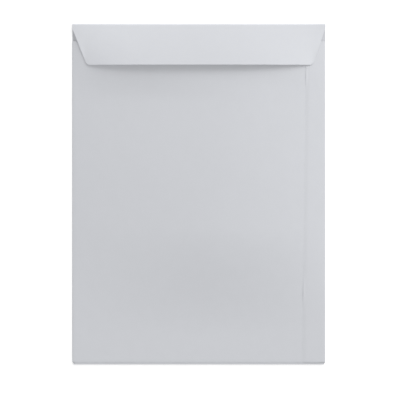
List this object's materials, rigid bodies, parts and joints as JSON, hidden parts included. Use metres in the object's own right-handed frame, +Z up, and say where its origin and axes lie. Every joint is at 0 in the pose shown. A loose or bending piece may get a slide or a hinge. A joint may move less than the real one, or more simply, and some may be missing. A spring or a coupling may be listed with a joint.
{
  "type": "self-seal envelope",
  "caption": "Pocket envelope folded and glued from white paper, with a side seam, an open mouth at the top and a hinged flap that closes on self-seal latex strips.",
  "frame": {"origin": "under the middle of the pocket, on the surface that the envelope lies on", "axes": "+X across the pocket towards the glued side seam, +Y along the pocket towards the flap fold and the mouth, +Z up out of the flap side"},
  "size_m": [0.26, 0.35, 0.0087],
  "materials": {
    "paper": "matte, smooth uncoated, slightly cool white",
    "glue": "dried adhesive film, satin",
    "latex": "thin dried latex film, low sheen"
  },
  "bodies": {
    "pocket": {"front_panel": "paper", "left_fold": "paper", "right_fold": "paper", "bottom_fold": "paper", "bottom_flap": "paper", "bottom_glue_line": "glue", "back_panel": "paper", "seam_glue_line": "glue", "seam_flap": "paper", "pocket_latex_strip": "latex"},
    "flap": {"flap_fold": "paper", "seal_flap": "paper", "flap_latex_strip": "latex"}
  },
  "joints": [
    {"name": "flap_hinge", "type": "hinge", "parent": "pocket", "child": "flap", "pos_m": [0, 0.1732, 0.0018], "axis": [-1, 0, 0], "range_deg": [0, 171]}
  ]
}
